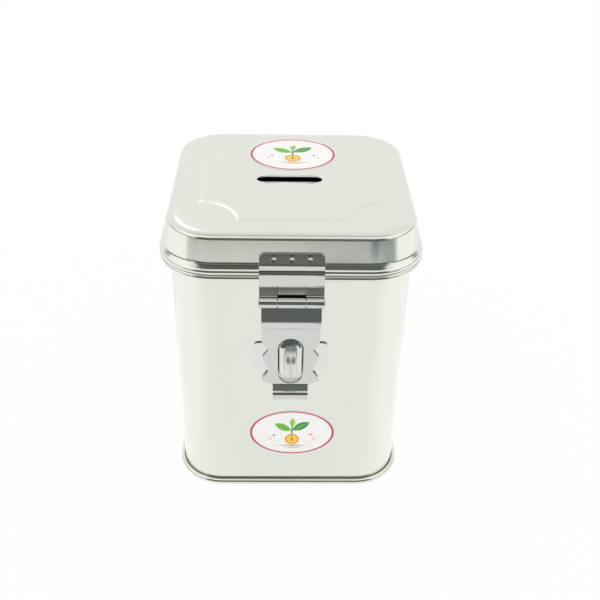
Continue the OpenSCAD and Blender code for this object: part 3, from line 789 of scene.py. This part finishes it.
def padlock_eye():
    """Two folds side by side, each slice across the eye drawn in where the folds are round."""
    bm = bmesh.new()
    rear = PLATE_Y + EYE_SINK
    loops = []
    for i in range(EYE_SLICES + 1):
        x = -EYE_W / 2 + EYE_W * (1 - math.cos(math.pi * i / EYE_SLICES)) / 2
        from_fold = abs(abs(x) - (EYE_W / 2 - EYE_FOLD))
        drawn_in = EYE_FOLD - math.sqrt(max(EYE_FOLD ** 2 - from_fold ** 2, 0))
        low, high, front = EYE_Z[0] + drawn_in, EYE_Z[1] - drawn_in, EYE_FRONT + drawn_in
        r = EYE_ROUND - drawn_in
        side = [(rear, low)] + arc((front + r, low + r), r, 270, 180, EYE_STEPS)
        side += arc((front + r, high - r), r, 180, 90, EYE_STEPS) + [(rear, high)]
        verts = [bm.verts.new((x, p[0], p[1])) for p in side]
        loops.append([bm.edges.new(pair) for pair in zip(verts, verts[1:] + verts[:1])])
    for pair in zip(loops, loops[1:]):
        bmesh.ops.bridge_loops(bm, edges=pair[0] + pair[1])
    middle_z = sum(EYE_Z) / 2
    hole = []
    for x in (-EYE_W / 2, EYE_W / 2):
        across = Matrix.Translation((x, EYE_HOLE_Y, middle_z)) @ Matrix.Rotation(math.pi / 2, 4, "Y")
        made = bmesh.ops.create_circle(bm, radius=EYE_HOLE_R, segments=HOLE_STEPS, matrix=across)["verts"]
        hole.append(list({e for v in made for e in v.link_edges}))
    bmesh.ops.bridge_loops(bm, edges=hole[0] + hole[1])
    bmesh.ops.bridge_loops(bm, edges=loops[0] + hole[0])
    bmesh.ops.bridge_loops(bm, edges=loops[-1] + hole[1])
    inside = -HALF + SHEET
    for size, y0, y1 in ((SHANK, PLATE_Y - SHANK_SINK, inside + SHANK_LAP),
                         (SHANK_HEAD, inside, inside + SHANK_HEAD_T)):
        bmesh.ops.create_cube(bm, size=1, matrix=Matrix.Translation((0, (y0 + y1) / 2, middle_z))
                              @ Matrix.Diagonal((size[0], y1 - y0, size[1], 1)))
    bmesh.ops.recalc_face_normals(bm, faces=bm.faces)
    finish_piece("padlock_loop", bm, "box", ["staple_eye"], SCUFFED, [eased(EYE_EASE, 3)])


def all_of(tree, limits):
    """Mask that is 1 where every value lies past its end, and fades to 0 at its start."""
    mask = 1.0
    for value, start, end in limits:
        ramp = add(tree, "ShaderNodeMapRange", {"Value": value, "From Min": start, "From Max": end},
                   interpolation_type="SMOOTHSTEP")
        mask = add(tree, "ShaderNodeMath", {0: ramp.outputs[0], 1: mask}, operation="MULTIPLY").outputs[0]
    return mask


def layered(tree, colour, layers):
    """Lays colours over each other, each through its mask."""
    for mask, over in layers:
        colour = add(tree, "ShaderNodeMix", {"Factor": mask, "A": colour, "B": over},
                     data_type="RGBA").outputs["Result"]
    return colour


def grey(value):
    """A grey of one strength, already linear."""
    return value, value, value, 1


def compass(tree, place):
    """Where a place or direction lies.

    Gives its turn from the front towards the right in radians, that turn without its sign, how far it lies
    to the front and its height."""
    part = add(tree, "ShaderNodeSeparateXYZ", {0: place})
    front = add(tree, "ShaderNodeMath", {0: part.outputs["Y"], 1: -1.0}, operation="MULTIPLY").outputs[0]
    turn = add(tree, "ShaderNodeMath", {0: part.outputs["X"], 1: front}, operation="ARCTAN2").outputs[0]
    away = add(tree, "ShaderNodeMath", {0: turn}, operation="ABSOLUTE").outputs[0]
    return turn, away, front, part.outputs["Z"]


def studio_world():
    """White tent round the object; shiny surfaces also see a dim room through its open front.

    Heights here run from -1 below to 1 overhead, and away is the turn from the front in radians."""
    world = bpy.data.worlds.new("studio")
    bpy.context.scene.world = world
    world.use_nodes = True
    tree = world.node_tree
    tree.nodes.clear()
    ray = add(tree, "ShaderNodeLightPath")
    place = add(tree, "ShaderNodeTexCoord").outputs["Generated"]
    away, front, up = compass(tree, place)[1:]
    patches = add(tree, "ShaderNodeTexNoise", {"Vector": place, "Scale": 5, "Detail": 2})
    tint = add(tree, "ShaderNodeSeparateColor", {0: patches.outputs["Color"]})
    room = layered(tree, linear("#535854"), [(all_of(tree, [(tint.outputs[c], 0.5, 0.62)]), linear(over))
                                             for c, over in enumerate(("#3B4347", "#6B6E60", "#41565F"))])
    lamp = add(tree, "ShaderNodeVectorMath", {0: place, 1: LAMP}, operation="DOT_PRODUCT").outputs["Value"]
    seen = layered(tree, grey(0.97), [
        # The tent dims towards its roof, which is a little paler in the middle
        (all_of(tree, [(up, 0.52, 0.58)]), grey(0.9)),
        (all_of(tree, [(up, 0.8, 0.88)]), grey(0.62)),
        (all_of(tree, [(up, 0.95, 0.98)]), grey(0.75)),
        # Its front above the opening is bright
        (all_of(tree, [(up, 0.62, 0.8), (front, 0.02, 0.2)]), grey(0.98)),
        # Bright side walls, with a dark low strip
        (all_of(tree, [(away, 0.96, 1.15), (away, 2.1, 1.9)]), grey(1.12)),
        (all_of(tree, [(away, 0.8, 0.95), (away, 2.3, 1.9), (up, 0.0, 0.03), (up, 0.34, 0.24)]), grey(0.3)),
        # The room through the open front, and a paler olive strip across it
        (all_of(tree, [(away, 0.87, 0.68), (up, -0.14, -0.06), (up, 0.86, 0.79)]), room),
        (all_of(tree, [(away, 0.8, 0.6), (up, 0.28, 0.33), (up, 0.44, 0.39)]), linear("#8F9485")),
        (all_of(tree, [(lamp, 0.9982, 0.9994)]), grey(2.6))])
    plain = layered(tree, grey(1), [(ray.outputs["Is Glossy Ray"], seen),
                                    (ray.outputs["Is Camera Ray"], grey(1))])
    add(tree, "ShaderNodeOutputWorld", {0: add(tree, "ShaderNodeBackground", {0: plain}).outputs[0]})


def white_table():
    """White table top that glows: plain to the eye, and in the shine of steel it shows a painted reflection of
    a dim room that darkens with distance.
    """
    bm = bmesh.new()
    bmesh.ops.create_grid(bm, x_segments=1, y_segments=1, size=TABLE_HALF)
    mesh = bpy.data.meshes.new("floor")
    bm.to_mesh(mesh)
    bm.free()
    floor = bpy.data.objects.new("floor", mesh)
    bpy.context.scene.collection.objects.link(floor)
    material = bpy.data.materials.new("white_table")
    material.use_nodes = True
    tree = material.node_tree
    tree.nodes.clear()
    ray = add(tree, "ShaderNodeLightPath")
    place = add(tree, "ShaderNodeTexCoord").outputs["Object"]
    turn, away = compass(tree, place)[:2]
    far = add(tree, "ShaderNodeVectorMath", {0: place}, operation="LENGTH").outputs["Value"]
    past = add(tree, "ShaderNodeMath", {0: far, 1: TABLE_START}, operation="SUBTRACT").outputs[0]
    # Noise for the blotches of the painted room reflection, seen only in the steel's shine
    reflected_room_blotches = add(tree, "ShaderNodeTexNoise", {"Vector": place, "Scale": REFLECTED_BLOTCHES, "Detail": 3}).outputs[0]
    seen = layered(tree, linear("#464C50"), [
        # Painted reflection of a dim room: blotches far off, then paler and paler towards the box
        (all_of(tree, [(reflected_room_blotches, 0.4, 0.6)]), linear("#666C68")),
        (all_of(tree, [(past, 1.2, 0.8)]), linear("#585E54")),
        (all_of(tree, [(past, 0.75, 0.47)]), grey(0.74)),
        (all_of(tree, [(past, 0.38, 0.28)]), grey(1)),
        # Painted reflection, duller to the right, with dark patches there and one to the left
        (all_of(tree, [(turn, 0.1, 0.8), (past, 0.2, 0.34)]), linear("#A9B0AC")),
        (all_of(tree, [(turn, 0.06, 0.075), (turn, 0.17, 0.15), (past, 0.28, 0.3), (past, 0.415, 0.4)]),
         linear("#15303A")),
        (all_of(tree, [(turn, 0.16, 0.2), (turn, 0.5, 0.35), (past, 0.42, 0.46)]), linear("#5E7078")),
        (all_of(tree, [(turn, 0.12, 0.3), (past, 0.5, 0.56)]), linear("#4F6470")),
        (all_of(tree, [(turn, -0.6, -0.7), (past, 0.5, 0.56)]), linear("#3F5864")),
        # Painted bright reflection beside the box and behind it
        (all_of(tree, [(away, 0.3, 1.2), (past, 0.3, 0.2)]), grey(1.14)),
        (all_of(tree, [(away, 0.95, 1.15)]), grey(1.12)),
        (all_of(tree, [(away, 1.9, 2.3)]), grey(0.95))])
    shine = layered(tree, grey(1), [(ray.outputs["Is Glossy Ray"], seen)])
    direct = add(tree, "ShaderNodeMath", {0: ray.outputs["Is Camera Ray"], 1: ray.outputs["Is Glossy Ray"]},
                 operation="MAXIMUM")
    share = add(tree, "ShaderNodeMath", {0: direct.outputs[0], 1: TABLE_GLOW}, operation="MULTIPLY")
    matt = add(tree, "ShaderNodeBsdfDiffuse", {0: linear("#FBFBFA")})
    glow = add(tree, "ShaderNodeEmission", {0: shine, 1: 1})
    mixed = add(tree, "ShaderNodeMixShader", {0: share.outputs[0], 1: matt.outputs[0], 2: glow.outputs[0]})
    add(tree, "ShaderNodeOutputMaterial", {0: mixed.outputs[0]})
    mesh.materials.append(material)


def camera():
    scene = bpy.context.scene
    data = bpy.data.cameras.new("camera")
    data.sensor_width = CAMERA_SENSOR
    data.lens = CAMERA_LENS
    data.clip_start = CAMERA_NEAR
    eye = bpy.data.objects.new("camera", data)
    turns = ((CAMERA_HEADING, "Z"), (90 - CAMERA_DOWN, "X"), (CAMERA_ROLL, "Z"))
    turn = [Matrix.Rotation(math.radians(degrees), 4, axis) for degrees, axis in turns]
    eye.matrix_world = Matrix.Translation(CAMERA_PLACE) @ turn[0] @ turn[1] @ turn[2]
    scene.collection.objects.link(eye)
    scene.camera = eye


bpy.context.scene.view_settings.view_transform = "Standard"
camera()
studio_world()
white_table()
body_shell()
base_pan()
lid_shell()
labels()
latch_leaf()
latch_strap()
staple_plate()
padlock_eye()
hinge_pin("hasp_rod", "lid", "latch_pin", LEAF_W, (0, LATCH_Y, LATCH_Z))
rear_hinges()

for name in ("body_rim_wire", "lid_rim_wire"):
    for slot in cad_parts[name].material_slots:
        slot.material = WIRE
